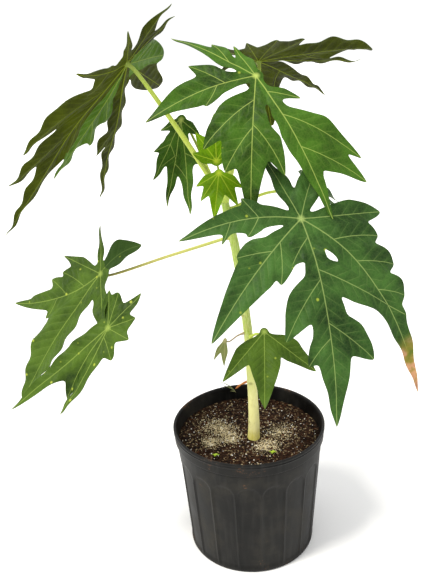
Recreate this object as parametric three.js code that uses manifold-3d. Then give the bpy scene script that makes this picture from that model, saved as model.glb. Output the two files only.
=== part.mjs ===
// Young papaya plant in a round nursery pot: slender stem, long petioles and deeply lobed leaves.
// Millimetres, +Z up, origin at the centre of the pot's underside. Each leaf is one thin blade.
import * as THREE from "three";
import { mergeVertices } from "three/addons/utils/BufferGeometryUtils.js";
import Module from "manifold-3d";

const wasm = await Module();
wasm.setup();

const GAP = 0.3;            // clearance between neighbouring pieces
const BLADE = 1.6;          // thickness of every leaf blade

// Pot: tapered wall, a deeper collar round the top and a rolled lip
const POT_HEIGHT = 250;
const POT_RIM = 140;
const POT_FOOT = 118;
const POT_WALL = 2.4;
const COLLAR_HEIGHT = 25;
const COLLAR_STEP = 3.5;    // how far the collar stands out from the wall below it
const SOIL_TOP = 228;

// Stem centre line and radius from the soil to the growing tip
const STEM = [
  [8, -20, SOIL_TOP + GAP, 11.5],
  [9, -19, 250, 10.4],
  [9, -16, 295, 9.2],
  [8, -14, 326, 8.7],
  [3, -9, 446, 7.8],
  [-12, -4, 586, 7.6],
  [-24, -1, 650, 7],
  [-32, 0, 712, 5],
];

// Every leaf has a hub where its petiole meets the blade. `heading` is the compass direction of the
// middle lobe, `dip` how steeply it slopes down and `roll` lifts the left side. A lobe is a band of
// blade along its rib: `turn` is its direction in the blade, `body` its half width over length, `waist`
// the share of that at the hub, `peak` where it is widest, `tip` how it tapers, `bend` its sideways
// curve and `droop` the fall of its tip. Side lobes are [where along the rib, reach over length, half
// width over reach, bow, sweep], the last two only where they differ. `web` rounds the bays between.
const LEAVES = {
  leaf_front: {
    hub: [75, -200, 697], heading: -78, dip: 50, roll: 0, curl: 0.0006,
    petiole: { node: 640, arch: 10, thick: [4.6, 3] }, colour: 0x2f5a2c,
    lobes: [
      { turn: -163, length: 114, body: 0.115 },
      { turn: -106, length: 164, body: 0.12, bend: 0.33, waist: 0.4, sweep: 55,
        right: [[0.36, 0.22, 0.3]], left: [[0.36, 0.19, 0.35], [0.59, 0.22, 0.12]] },
      { turn: -52, length: 213, body: 0.13, bend: 0.13, waist: 0.25, peak: 0.5, sweep: 40,
        right: [[0.3, 0.23, 0.42]], left: [[0.22, 0.28, 0.3]] },
      { turn: 9, length: 280, body: 0.095, bend: -0.16, waist: 0.4, peak: 0.65, sweep: 46,
        right: [[0.1, 0.16, 0.45], [0.32, 0.35, 0.25, 0.12, 42], [0.6, 0.18, 0.3]],
        left: [[0.27, 0.49, 0.17, 0.05, 54], [0.53, 0.28, 0.3]] },
      { turn: 53, length: 264, body: 0.09, bend: -0.44, waist: 0.6, droop: 0.1,
        left: [[0.2, 0.26, 0.4], [0.36, 0.22, 0.45], [0.53, 0.15, 0.6]] },
      { turn: 88, length: 120, body: 0.17, bend: 0.05, waist: 0.3, peak: 0.6, tip: 0.6 },
      { turn: 158, length: 97, body: 0.19, bend: -0.08, waist: 0.3, peak: 0.55, tip: 0.7, droop: -0.45 },
    ],
  },
  leaf_top: {
    hub: [23, -100, 880], heading: -95, dip: 42, roll: 0, curl: 0.0006,
    petiole: { node: 672, arch: 10, thick: [4.4, 3] }, colour: 0x37662a,
    lobes: [
      { turn: -150, length: 66, body: 0.16, waist: 0.5, peak: 0.4 },
      { turn: -126, length: 160, body: 0.07, waist: 0.5, peak: 0.4, right: [[0.3, 0.3, 0.2, 0.1, 20]] },
      { turn: -80, length: 166, body: 0.14, bend: 0.2, waist: 0.4, peak: 0.55,
        right: [[0.27, 0.38, 0.26]], left: [[0.34, 0.22, 0.35]] },
      { turn: -3, length: 190, body: 0.13, waist: 0.22, peak: 0.6, droop: 0.36,
        right: [[0.22, 0.5, 0.24, 0.12, 46], [0.44, 0.34, 0.38, 0.12, 34]],
        left: [[0.42, 0.4, 0.22, 0.14, 38]] },
      { turn: 29, length: 218, body: 0.08, waist: 0.25, peak: 0.6, sweep: 38, droop: 0.25,
        left: [[0.15, 0.22, 0.2, 0.12, 46], [0.35, 0.54, 0.16, 0.12, 38], [0.58, 0.44, 0.2, 0.1, 44]] },
    ],
  },
  leaf_back: {
    hub: [36, 52, 885], heading: 10, dip: 0, roll: -26, curl: 0.0005,
    petiole: { node: 692, arch: 8, thick: [4.2, 3] }, colour: 0x46561f,
    lobes: [
      { turn: -136, length: 122, body: 0.13 },
      { turn: -112, length: 100, body: 0.12 },
      { turn: -84, length: 92, body: 0.26 },
      { turn: -58, length: 95, body: 0.28, tip: 0.5 },
      { turn: -23, length: 172, body: 0.16, waist: 0.3, peak: 0.75, tip: 0.4, left: [[0.4, 0.2, 0.3]] },
      { turn: -3, length: 168, body: 0.08, waist: 0.5, right: [[0.4, 0.2, 0.3]] },
      { turn: 41, length: 196, body: 0.09, waist: 0.6, peak: 0.35, left: [[0.3, 0.32, 0.3]] },
      { turn: 72, length: 132, body: 0.24, waist: 0.3, tip: 0.6, droop: 0.5 },
      { turn: 160, length: 72, body: 0.2, droop: 0.1 },
    ],
  },
  leaf_left_high: {
    hub: [-168, 0, 895], heading: 150, dip: 58, roll: 0, curl: 0,
    petiole: { node: 674, arch: 6, thick: [5.2, 3.2] }, colour: 0x41601f,
    lobes: [
      { turn: -155, length: 112, body: 0.12 },
      { turn: -134, length: 110, body: 0.1 },
      { turn: -92, length: 98, body: 0.34, waist: 0.4, tip: 0.5, right: [[0.3, 0.35, 0.3]] },
      { turn: -66, length: 148, body: 0.18, waist: 0.2, peak: 0.6, tip: 0.45 },
      { turn: -18, length: 317, body: 0.06, sweep: 40, waist: 0.8, peak: 0.35, left: [[0.42, 0.18, 0.25]] },
      { turn: 11, length: 210, body: 0.13, bend: 0.2, sweep: 40,
        right: [[0.3, 0.24, 0.4], [0.5, 0.24, 0.3]] },
      { turn: 40, length: 322, body: 0.09, bend: -0.24, sweep: 30, waist: 0.7, peak: 0.4,
        left: [[0.16, 0.54, 0.15, 0.1, 26], [0.42, 0.4, 0.16, 0.1, 26]], right: [[0.35, 0.2, 0.3]] },
      { turn: 72, length: 121, body: 0.08, bend: 0.34, right: [[0.35, 0.4, 0.3]] },
      { turn: 152, length: 66, body: 0.13 },
    ],
  },
  leaf_left_low: {
    hub: [-235, -50, 573], heading: -135, dip: 58, roll: 0, curl: 0,
    petiole: { node: 612, arch: 0, thick: [2.9, 2.2] }, colour: 0x3f6b33,
    lobes: [
      { turn: -153, length: 86, body: 0.08 },
      { turn: -94, length: 109, body: 0.12, waist: 0.3 },
      { turn: -42, length: 205, body: 0.1, bend: -0.37, waist: 0.6,
        right: [[0.2, 0.3, 0.35], [0.4, 0.25, 0.35]], left: [[0.5, 0.2, 0.3]] },
      { turn: -28, length: 258, body: 0.15, bend: 0.18, waist: 0.5, peak: 0.6 },
      { turn: 30, length: 112, body: 0.15, waist: 0.8 },
      { turn: 160, length: 84, body: 0.25, bend: -0.5, waist: 0.15, peak: 0.6 },
    ],
    fold: {
      hub: [-221, -121, 508], heading: -120, dip: 55, roll: 0, curl: 0,
      lobes: [
        { turn: -165, length: 62, body: 0.2 },
        { turn: -41, length: 218, body: 0.09, waist: 0.9, peak: 0.35 },
        { turn: -26, length: 140, body: 0.1, waist: 0.3, peak: 0.75, droop: 0.25 },
        { turn: -10, length: 156, body: 0.1, bend: -0.12, waist: 1, peak: 0.4, left: [[0.1, 0.26, 0.4]] },
        { turn: 76, length: 45, body: 0.3 },
        { turn: 118, length: 52, body: 0.3 },
        { turn: 146, length: 78, body: 0.15 },
        { turn: 178, length: 56, body: 0.3, tip: 0.5 },
      ],
    },
  },
  leaf_low: {
    hub: [29, -60, 460], heading: -80, dip: 45, roll: 0, curl: 0.0004, web: 2.0,
    petiole: { node: 425, arch: 4, thick: [2.6, 2] }, colour: 0x467a35,
    lobes: [
      { turn: -48, length: 112, body: 0.15, waist: 0.2 },
      { turn: -10, length: 131, body: 0.2, waist: 0.25, peak: 0.42 },
      { turn: 44, length: 108, body: 0.19, waist: 0.12, peak: 0.5 },
    ],
  },
  leaf_young: {
    hub: [-35, -50, 731], heading: -90, dip: 50, roll: 0, curl: 0.001, web: 1.5,
    petiole: { node: 700, arch: 0, thick: [2.4, 1.8] }, colour: 0x7fae1c,
    lobes: [
      { turn: -60, length: 42, body: 0.2 },
      { turn: -34, length: 54, body: 0.17 },
      { turn: -8, length: 76, body: 0.15 },
      { turn: 26, length: 62, body: 0.16 },
      { turn: 54, length: 44, body: 0.2 },
    ],
  },
  leaf_new: {
    hub: [-38, -14, 742], heading: 90, dip: -72, roll: 0, curl: 0.001, web: 1.5,
    petiole: { node: 706, arch: 0, thick: [2.2, 1.6] }, colour: 0x86b31f,
    lobes: [
      { turn: -70, length: 40, body: 0.25 },
      { turn: -34, length: 56, body: 0.22 },
      { turn: 0, length: 76, body: 0.2 },
      { turn: 34, length: 56, body: 0.22 },
      { turn: 70, length: 40, body: 0.25 },
    ],
  },
  leaf_inner: {
    hub: [-94, 78, 794], heading: -120, dip: 62, roll: 0, curl: 0, web: 2.0,
    petiole: { node: 646, arch: 8, thick: [3, 2] }, colour: 0x35521a,
    lobes: [
      { turn: -60, length: 42, body: 0.2 },
      { turn: -16, length: 112, body: 0.13, left: [[0.4, 0.3, 0.25]], right: [[0.4, 0.3, 0.25]] },
      { turn: 3, length: 150, body: 0.09, left: [[0.5, 0.25, 0.25]], right: [[0.4, 0.2, 0.3]] },
      { turn: 19, length: 168, body: 0.09, left: [[0.35, 0.25, 0.25]] },
      { turn: 60, length: 46, body: 0.2 },
    ],
  },
  leaf_rear: {
    hub: [112, 40, 688], heading: -10, dip: 32, roll: 0, curl: 0.0008,
    petiole: { node: 655, arch: 10, thick: [3, 2] }, colour: 0x3c5c28,
    lobes: [
      { turn: -30, length: 70, body: 0.2 },
      { turn: 12, length: 74, body: 0.22 },
      { turn: 56, length: 70, body: 0.22 },
      { turn: 105, length: 56, body: 0.22 },
    ],
  },
  leaf_withered: {
    hub: [-37, -30, 433], heading: -130, dip: 55, roll: 0, curl: 0, web: 1.5,
    petiole: { node: 437, arch: 3, thick: [1.8, 1.3] }, colour: 0x6f7446,
    lobes: [
      { turn: -14, length: 40, body: 0.14 },
      { turn: 20, length: 46, body: 0.14 },
    ],
  },
};

const rad = (degrees) => degrees * Math.PI / 180;

// Axes of a leaf: m along the middle lobe, s to its left, n out of the upper face
function axesOf({ heading, dip, roll }) {
  const level = new THREE.Vector3(Math.cos(rad(heading)), Math.sin(rad(heading)), 0);
  const up = new THREE.Vector3(0, 0, 1);
  const m = level.clone().multiplyScalar(Math.cos(rad(dip))).addScaledVector(up, -Math.sin(rad(dip)));
  const n = up.clone().multiplyScalar(Math.cos(rad(dip))).addScaledVector(level, Math.sin(rad(dip)));
  const s = n.clone().cross(m);
  s.applyAxisAngle(m, rad(roll));
  n.applyAxisAngle(m, rad(roll));
  return { m, s, n };
}

const LOBE = { bend: 0, waist: 0.45, peak: 0.5, sweep: 48, tip: 0.85, droop: 0, left: [], right: [] };
const SIDE_BOW = 0.12;
const WEB = 2.4;
const FACET = 40;           // longest edge inside a blade
const SMOOTHING = 1.1;      // how far the margin's straight pieces may stray from its curve

// Share of the full half width at t from 0 (start of the rib) to 1 (tip)
function girth(t, waist, peak, tip) {
  if (t < peak) return waist + (1 - waist) * THREE.MathUtils.smoothstep(t, 0, peak);
  return ((1 - t) / (1 - peak)) ** tip;
}

const turned = (x, y, angle) => new THREE.Vector2(x, y).rotateAround(new THREE.Vector2(), angle);

// Point of a lobe's rib at t, in the blade's own plane
const ribPoint = ({ turn, length, bend }, t) => turned(length * t, bend * length * t * t, rad(turn));

// Band of blade round a row of [point, half width]
function band(row) {
  const discs = row.map(([p, r]) => wasm.CrossSection.circle(Math.max(r, 0.6), 14).translate([p.x, p.y]));
  return discs.slice(1).map((disc, i) => wasm.CrossSection.hull([discs[i], disc]));
}

// Flat outline of a leaf: the bands of all lobes and side lobes run together, with round bays
function outline(leaf) {
  const bands = [];
  for (const lobe of leaf.lobes.map((given) => ({ ...LOBE, ...given }))) {
    const { turn, length, body, bend, waist, peak, tip } = lobe;
    const steps = 12;
    const along = [...Array(steps + 1).keys()].map((k) => k / steps);
    bands.push(...band(along.map((t) => [ribPoint(lobe, t), length * body * girth(t, waist, peak, tip)])));
    for (const [side, sign] of [["left", 1], ["right", -1]]) {
      for (const [where, reach, width, bow = SIDE_BOW, sweep = lobe.sweep] of lobe[side]) {
        const start = ribPoint(lobe, where);
        const angle = rad(turn) + Math.atan(2 * bend * where) + sign * rad(sweep);
        const small = length * reach;
        bands.push(...band(along.filter((t, k) => k % 2 === 0).map((t) => [
          turned(small * t, sign * bow * small * (t - t * t), angle).add(start),
          small * width * girth(t, 0.75, 0.45, 0.8),
        ])));
      }
    }
  }
  const web = leaf.web ?? WEB;
  return wasm.CrossSection.union(bands).offset(web, "Round").offset(-web, "Round").simplify(SMOOTHING);
}

// Fall of the blade below its plane: the leaf's curl and the droop of the lobes close by
function fall(leaf, x, y) {
  const at = new THREE.Vector2(x, y);
  let total = 0, drop = 0;
  for (const lobe of leaf.lobes.map((given) => ({ ...LOBE, ...given }))) {
    let nearest = Infinity, along = 0;
    for (let t = 0; t <= 1; t += 0.02) {
      const away = at.distanceTo(ribPoint(lobe, t));
      if (away < nearest) [nearest, along] = [away, t];
    }
    const share = Math.exp(-nearest / 7);
    total += share;
    drop += share * lobe.droop * lobe.length * along ** 3;
  }
  return leaf.curl * at.lengthSq() + drop / total;
}

// Solid blade of even thickness, curled and set at its hub
function blade(leaf) {
  const { m, s, n } = axesOf(leaf);
  const flat = wasm.Manifold.extrude(outline(leaf), BLADE).translate([0, 0, -BLADE / 2]);
  return flat.refineToLength(FACET).warp((p) => {
    const lift = p[2] - fall(leaf, p[0], p[1]);
    const place = new THREE.Vector3(...leaf.hub);
    place.addScaledVector(m, p[0]).addScaledVector(s, p[1]).addScaledVector(n, lift);
    [p[0], p[1], p[2]] = place;
  });
}

// Tapered round limb along a smooth line of [x, y, z, radius]
function limb(line, sides, rings, firstNormal, lastNormal) {
  const smooth = (points) => new THREE.CatmullRomCurve3(points, false, "centripetal");
  const curve = smooth(line.map(([x, y, z]) => new THREE.Vector3(x, y, z)));
  const radii = smooth(line.map((p, i) => new THREE.Vector3(i, p[3], 0)));
  const frames = curve.computeFrenetFrames(rings, false);
  const geometry = new THREE.CylinderGeometry(1, 1, 1, sides, rings);
  geometry.deleteAttribute("normal");
  geometry.deleteAttribute("uv");
  const position = geometry.getAttribute("position");
  const ends = { 0: firstNormal, [rings]: lastNormal };
  for (let i = 0; i < position.count; i += 1) {
    const ring = Math.round((position.getY(i) + 0.5) * rings);
    const u = curve.getUtoTmapping(ring / rings);
    const centre = curve.getPoint(u);
    const radius = radii.getPoint(u).y;
    let side = frames.normals[ring].clone(), across = frames.binormals[ring].clone();
    const flat = ends[ring];
    if (flat) {
      side.projectOnPlane(flat).normalize();
      across = flat.clone().cross(side);
    }
    const p = centre.addScaledVector(side, -position.getX(i) * radius);
    p.addScaledVector(across, position.getZ(i) * radius);
    position.setXYZ(i, p.x, p.y, p.z);
  }
  return mergeVertices(geometry, 1e-4);
}

function stemAt(z) {
  const k = Math.max(1, STEM.findIndex((p) => p[2] >= z));
  const a = STEM[k - 1], b = STEM[k];
  const t = (z - a[2]) / (b[2] - a[2]);
  return a.map((value, i) => value + (b[i] - value) * t);
}

const toManifold = (geometry) => new wasm.Manifold(new wasm.Mesh({
  numProp: 3,
  vertProperties: new Float32Array(geometry.getAttribute("position").array),
  triVerts: new Uint32Array(geometry.getIndex().array),
}));

function fromManifold(solid) {
  const { vertProperties, triVerts } = solid.getMesh();
  const geometry = new THREE.BufferGeometry();
  geometry.setAttribute("position", new THREE.Float32BufferAttribute(vertProperties, 3));
  geometry.setIndex([...triVerts]);
  return geometry;
}

const root = new THREE.Group();
root.name = "potted_papaya_tree";

function add(name, geometry, colour, roughness) {
  const material = new THREE.MeshStandardMaterial({ color: colour, roughness, metalness: 0 });
  const mesh = new THREE.Mesh(geometry, material);
  mesh.name = name;
  root.add(mesh);
}

function lathe(profile, segments) {
  const geometry = new THREE.LatheGeometry(profile.map(([r, z]) => new THREE.Vector2(r, z)), segments);
  geometry.rotateX(Math.PI / 2);
  geometry.deleteAttribute("normal");
  geometry.deleteAttribute("uv");
  return mergeVertices(geometry, 1e-4);
}

// Pot and soil
const collarFoot = POT_HEIGHT - COLLAR_HEIGHT;
const wallAt = (z) => POT_FOOT + (POT_RIM - COLLAR_STEP - POT_FOOT) * z / POT_HEIGHT;
add("pot", lathe([
  [0, 0],
  [POT_FOOT - 3, 0],
  [POT_FOOT, 4],
  [wallAt(collarFoot), collarFoot],
  [wallAt(collarFoot) + COLLAR_STEP, collarFoot + 1],
  [POT_RIM, POT_HEIGHT - 2],
  [POT_RIM - 1.5, POT_HEIGHT],
  [POT_RIM - 4.5, POT_HEIGHT],
  [wallAt(collarFoot) - POT_WALL, collarFoot],
  [wallAt(POT_WALL) - POT_WALL, POT_WALL],
  [0, POT_WALL],
], 40), 0x34342f, 0.6);
const innerAt = (z) => wallAt(z) - POT_WALL - GAP * 1.5;
add("soil", lathe([
  [0, POT_WALL + GAP],
  [innerAt(0), POT_WALL + GAP],
  [innerAt(SOIL_TOP - 6), SOIL_TOP - 6],
  [95, SOIL_TOP - 2],
  [60, SOIL_TOP],
  [0, SOIL_TOP],
], 40), 0x2c211b, 0.95);

// Stem with a swollen foot, flat on the soil
const rings = 14;
const level = new THREE.Vector3(0, 0, 1);
add("stem", limb(STEM, 12, rings, level), 0xb9bf6a, 0.6);
const stemKeepOut = toManifold(limb(STEM.map(([x, y, z, r]) => [x, y, z, r + GAP]), 12, rings, level));

// Leaves, each carried by its petiole
for (const [name, leaf] of Object.entries(LEAVES)) {
  const main = blade(leaf);
  add(name, fromManifold(leaf.fold ? main.add(blade(leaf.fold)) : main), leaf.colour, 0.55);
  const { n } = axesOf(leaf);
  const { node, arch, thick } = leaf.petiole;
  const foot = stemAt(node);
  const hub = new THREE.Vector3(...leaf.hub);
  const top = hub.clone().addScaledVector(n, -BLADE / 2 - GAP);
  const neck = hub.clone().addScaledVector(n, -12);
  const middle = new THREE.Vector3(foot[0], foot[1], foot[2]).lerp(neck, 0.5);
  middle.z += arch;
  const line = [
    [foot[0], foot[1], foot[2], thick[0]],
    [middle.x, middle.y, middle.z, (thick[0] + thick[1]) / 2],
    [neck.x, neck.y, neck.z, thick[1]],
    [top.x, top.y, top.z, thick[1]],
  ];
  const petiole = toManifold(limb(line, 8, 9, null, n.clone()));
  add(name.replace("leaf", "petiole"), fromManifold(petiole.subtract(stemKeepOut)), 0x9db343, 0.5);
}

export default root;
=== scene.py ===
import math
import random
from functools import partial

import bpy
import numpy as np
from mathutils import Matrix, Vector


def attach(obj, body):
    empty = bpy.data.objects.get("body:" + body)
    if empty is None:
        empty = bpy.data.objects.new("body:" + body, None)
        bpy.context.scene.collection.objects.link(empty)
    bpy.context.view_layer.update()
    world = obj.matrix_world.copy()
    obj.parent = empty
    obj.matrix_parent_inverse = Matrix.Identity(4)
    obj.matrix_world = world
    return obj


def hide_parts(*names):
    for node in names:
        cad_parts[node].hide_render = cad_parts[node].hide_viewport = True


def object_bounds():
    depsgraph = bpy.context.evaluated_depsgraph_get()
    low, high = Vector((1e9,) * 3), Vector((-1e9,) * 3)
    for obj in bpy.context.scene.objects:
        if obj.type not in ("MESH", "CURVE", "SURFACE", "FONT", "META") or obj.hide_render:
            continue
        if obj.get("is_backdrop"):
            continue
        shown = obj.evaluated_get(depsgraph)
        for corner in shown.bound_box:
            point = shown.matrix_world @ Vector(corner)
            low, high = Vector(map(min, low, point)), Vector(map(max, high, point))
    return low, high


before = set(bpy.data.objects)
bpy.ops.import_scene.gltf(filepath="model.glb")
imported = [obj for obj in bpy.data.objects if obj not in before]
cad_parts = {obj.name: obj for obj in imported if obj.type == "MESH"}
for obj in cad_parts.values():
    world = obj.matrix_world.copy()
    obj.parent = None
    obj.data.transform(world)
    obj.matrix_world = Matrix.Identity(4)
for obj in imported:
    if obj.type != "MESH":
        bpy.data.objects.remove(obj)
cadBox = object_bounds()
mm = 0.001
print("frame loaded:", len(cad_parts), "nodes")


def srgb(hexText):
    channels = [int(hexText[i:i + 2], 16) / 255 for i in (1, 3, 5)]
    return [c / 12.92 if c <= 0.04045 else ((c + 0.055) / 1.055) ** 2.4 for c in channels] + [1.0]


def addNode(tree, kind, inputs=None, **settings):
    # one node with its settings; an input is a number, a colour, a node or a socket
    node = tree.nodes.new("ShaderNode" + kind)
    for key, value in settings.items():
        if key == "stops":
            ramp = node.color_ramp.elements
            ramp[0].position, ramp[0].color = value[0][0], srgb(value[0][1])
            ramp[1].position, ramp[1].color = value[-1][0], srgb(value[-1][1])
            for place, colour in value[1:-1]:
                ramp.new(place).color = srgb(colour)
        else:
            setattr(node, key, value)
    for key, value in (inputs or {}).items():
        if isinstance(value, bpy.types.Node):
            value = value.outputs[0]
        if isinstance(value, bpy.types.NodeSocket):
            tree.links.new(value, node.inputs[key])
        elif isinstance(value, str):
            node.inputs[key].default_value = srgb(value)
        else:
            node.inputs[key].default_value = value
    return node


def newMaterial(name):
    # an empty material, the function that adds a node to it, and its coordinates in metres
    material = bpy.data.materials.new(name)
    material.use_nodes = True
    material.node_tree.nodes.clear()
    add = partial(addNode, material.node_tree)
    return material, add, add("TexCoord").outputs["Object"]


def newObject(name, data):
    made = bpy.data.objects.new(name, data)
    bpy.context.scene.collection.objects.link(made)
    return made


def nodeName(name):
    # leafFront replaces leaf_front
    return "".join("_" + c.lower() if c.isupper() else c for c in name)


def smooth(x):
    x = np.clip(x, 0, 1)
    return x * x * (3 - 2 * x)


def makePiece(name, points, triangles, material, nodes=(), cornerData=None, pointData=None,
              crease=50):
    # closed mesh in millimetres; the data are vectors that the material reads
    mesh = bpy.data.meshes.new(name)
    mesh.from_pydata((np.asarray(points) * mm).tolist(), [], np.asarray(triangles).tolist())
    mesh.shade_smooth()
    mesh.set_sharp_from_angle(angle=math.radians(crease))
    for domain, table in (("CORNER", cornerData), ("POINT", pointData)):
        for key, values in (table or {}).items():
            layer = mesh.attributes.new(key, "FLOAT_VECTOR", domain)
            layer.data.foreach_set("vector", np.asarray(values, np.float32).ravel())
    mesh.materials.append(material)
    piece = newObject(name, mesh)
    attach(piece, "root")
    if nodes:
        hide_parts(*nodes)
    return piece


def smoothLine(points, count):
    # centripetal Catmull-Rom through the points, evened out along its length
    p = [np.array(q, float) for q in points]
    p = [2 * p[0] - p[1]] + p + [2 * p[-1] - p[-2]]
    line = []
    for i in range(1, len(p) - 2):
        dt = [max(1e-4, np.linalg.norm(p[i + k][:3] - p[i + k - 1][:3])) ** 0.5 for k in (0, 1, 2)]
        t1 = ((p[i] - p[i - 1]) / dt[0] - (p[i + 1] - p[i - 1]) / (dt[0] + dt[1])
              + (p[i + 1] - p[i]) / dt[1]) * dt[1]
        t2 = ((p[i + 1] - p[i]) / dt[1] - (p[i + 2] - p[i]) / (dt[1] + dt[2])
              + (p[i + 2] - p[i + 1]) / dt[2]) * dt[1]
        for t in np.linspace(0, 1, 24, endpoint=False):
            line.append((2 * t ** 3 - 3 * t ** 2 + 1) * p[i] + (t ** 3 - 2 * t ** 2 + t) * t1
                        + (3 * t ** 2 - 2 * t ** 3) * p[i + 1] + (t ** 3 - t ** 2) * t2)
    line.append(p[-2])
    line = np.array(line)
    run = np.concatenate([[0], np.cumsum(np.linalg.norm(np.diff(line[:, :3], axis=0), axis=1))])
    even = np.linspace(0, run[-1], count)
    return np.stack([np.interp(even, run, line[:, k]) for k in range(line.shape[1])], axis=1), even


def cellFaces(a, b, c, d):
    # two triangles to a cell of four corners
    return np.concatenate([np.stack(corners, -1).reshape(-1, 3) for corners in ((a, b, c), (a, c, d))])


def ringFaces(rings, sides):
    # walls between rings of points, and a fan at each end to the two points that follow the rings
    index = np.arange(rings * sides).reshape(rings, sides)
    shifted = np.roll(index, -1, axis=1)
    foot = np.stack([np.full(sides, rings * sides), shifted[0], index[0]], -1)
    head = np.stack([np.full(sides, rings * sides + 1), index[-1], shifted[-1]], -1)
    return np.concatenate([cellFaces(index[:-1], shifted[:-1], shifted[1:], index[1:]), foot, head])


def tube(line, sides, relief=None):
    # closed tube along rows of x, y, z, radius; relief(ring, angles) gives the height to add
    centres, radii = line[:, :3], line[:, 3]
    tangents = np.gradient(centres, axis=0)
    tangents /= np.linalg.norm(tangents, axis=1)[:, None]
    side = np.cross(tangents[0], [0.3, 1.0, 0.1])
    angles = np.linspace(0, 2 * math.pi, sides, endpoint=False)
    points = []
    for i, (centre, tangent) in enumerate(zip(centres, tangents)):
        side = side - tangent * side.dot(tangent)
        side /= np.linalg.norm(side)
        reach = radii[i] + (relief(i, angles) if relief else 0)
        points.append(centre + np.outer(np.cos(angles) * reach, side)
                      + np.outer(np.sin(angles) * reach, np.cross(tangent, side)))
    return np.concatenate(points + [centres[[0, -1]]]), ringFaces(len(centres), sides)


# Leaves: every rib carries a band of blade as wide as its girth, and the bands run together in round bays.

leafBuild = {
    "thickness": 0.6,
    "step": 1.7,            # mm between points of the blade
    "veinGap": 17,          # mm between side veins
    "rib": 1.1,             # mm, radius at the hub of the rib of the longest lobe
    "longest": 280,         # mm, the longest lobe
    "linePoints": (90, 44),  # along the rib of a lobe and of a side lobe
    "ribRings": 40, "ribSides": 8,
    "ribSink": 0.25,        # how far below the blade the middle of a rib lies, over its radius
    "web": 2.4,             # roundness of the bays between lobes
    "share": 7,             # mm over which two lobes share their droop
    "fold": 0.3,            # rise of the blade beside its ribs, and how far it goes on
    "foldReach": 14,
    "ripple": 2.4,          # mm, waves of the margin, and the width of the rim that has them
    "rim": 16,
    "sway": 3.0,            # mm, long slow waves
    "pucker": 1.5,          # mm, bulge between the side veins
}


def setting(leaf, key):
    return leaf.get(key, leafBuild[key])


def lobe(turn, length, body, bend=0, waist=0.45, peak=0.5, sweep=48, tip=0.85, droop=0, scorch=2,
         over=0, left=(), right=()):
    # body is half width over length, over is 1 where the lobe lies turned over; rows of side lobes: where,
    # reach, body, then bow and sweep if they differ
    return dict(turn=turn, length=length, body=body, bend=bend, waist=waist, peak=peak, sweep=sweep,
                tip=tip, droop=droop, scorch=scorch, over=over, left=left, right=right)


def leafAxes(leaf):
    heading, dip, roll = (math.radians(leaf.get(key, 0)) for key in ("heading", "dip", "roll"))
    level = np.array([math.cos(heading), math.sin(heading), 0])
    up = np.array([0, 0, 1.0])
    m = level * math.cos(dip) - up * math.sin(dip)
    n = up * math.cos(dip) + level * math.sin(dip)
    s = np.cross(n, m)
    return m, s * math.cos(roll) + n * math.sin(roll), n * math.cos(roll) - s * math.sin(roll)


def turned(x, y, angle):
    cos, sin = math.cos(angle), math.sin(angle)
    return np.stack([cos * x - sin * y, sin * x + cos * y], -1)


def girth(t, waist, peak, tip):
    rise = waist + (1 - waist) * smooth(t / peak)
    return np.where(t < peak, rise, np.clip((1 - t) / (1 - peak), 0, 1) ** tip)


def ribsOf(leaf, rng):
    ribs = []

    def addRib(line, width, radius, part, base, slope, tint):
        ahead = np.gradient(line, axis=0)
        ahead = ahead / np.linalg.norm(ahead, axis=1)[:, None]
        run = np.concatenate([[0], np.cumsum(np.linalg.norm(np.diff(line, axis=0), axis=1))])
        ribs.append(dict(line=line, girth=width, radius=radius, ahead=ahead, run=run, part=part, base=base,
                         slope=slope, tint=tint))

    for part in leaf["lobes"]:
        length, turn, tint = part["length"], math.radians(part["turn"]), rng.random()
        t = 1 - (1 - np.linspace(0, 1, leafBuild["linePoints"][0])) ** 1.6
        radius = setting(leaf, "rib") * (length / leafBuild["longest"]) ** 0.5
        addRib(turned(length * t, part["bend"] * length * t * t, turn),
               length * part["body"] * girth(t, part["waist"], part["peak"], part["tip"]),
               radius * (1 - 0.8 * t), part, 0, 1 / length, tint)
        for side, sign in (("left", 1), ("right", -1)):
            for where, reach, wide, *more in part[side]:
                bow = more[0] if more else 0.12
                sweep = math.radians(more[1] if len(more) > 1 else part["sweep"])
                q = 1 - (1 - np.linspace(0, 1, leafBuild["linePoints"][1])) ** 1.6
                start = turned(length * where, part["bend"] * length * where ** 2, turn)
                angle = turn + math.atan(2 * part["bend"] * where) + sign * sweep
                small = length * reach
                addRib(start + turned(small * q, sign * bow * small * (q - q * q), angle),
                       small * wide * girth(q, 0.75, 0.45, 0.8),
                       radius * (1 - 0.8 * where) * 0.6 * (1 - 0.8 * q),
                       part, where, math.cos(sweep) / length, tint)
    return ribs


def measure(ribs, x, y):
    # for every rib: how deep each point is in its band, how far along the rib, how far to its left
    table = np.empty((3, len(ribs), len(x)))
    table[0], table[1], table[2] = -99, 0, 99
    for i, rib in enumerate(ribs):
        line, pad = rib["line"], rib["girth"].max() + 26
        low, high = line.min(0) - pad, line.max(0) + pad
        near = np.flatnonzero((x > low[0]) & (x < high[0]) & (y > low[1]) & (y < high[1]))
        dx, dy = x[near, None] - line[:, 0], y[near, None] - line[:, 1]
        away = np.hypot(dx, dy)
        k, rows = away.argmin(1), np.arange(len(near))
        table[0, i, near] = (rib["girth"] - away).max(1)
        dx, dy, away = dx[rows, k], dy[rows, k], away[rows, k]
        tx, ty = rib["ahead"][k].T
        step, side = dx * tx + dy * ty, tx * dy - ty * dx
        beyond = ((k == 0) & (step < 0)) | ((k == len(line) - 1) & (step > 0))
        table[1, i, near] = rib["run"][k] + step
        table[2, i, near] = np.where(beyond, np.copysign(away, side), side)
    return table


def marginDepth(leaf, deep):
    web = setting(leaf, "web")
    return web * np.log(np.exp(deep / web).sum(0) + 1e-30)


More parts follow.
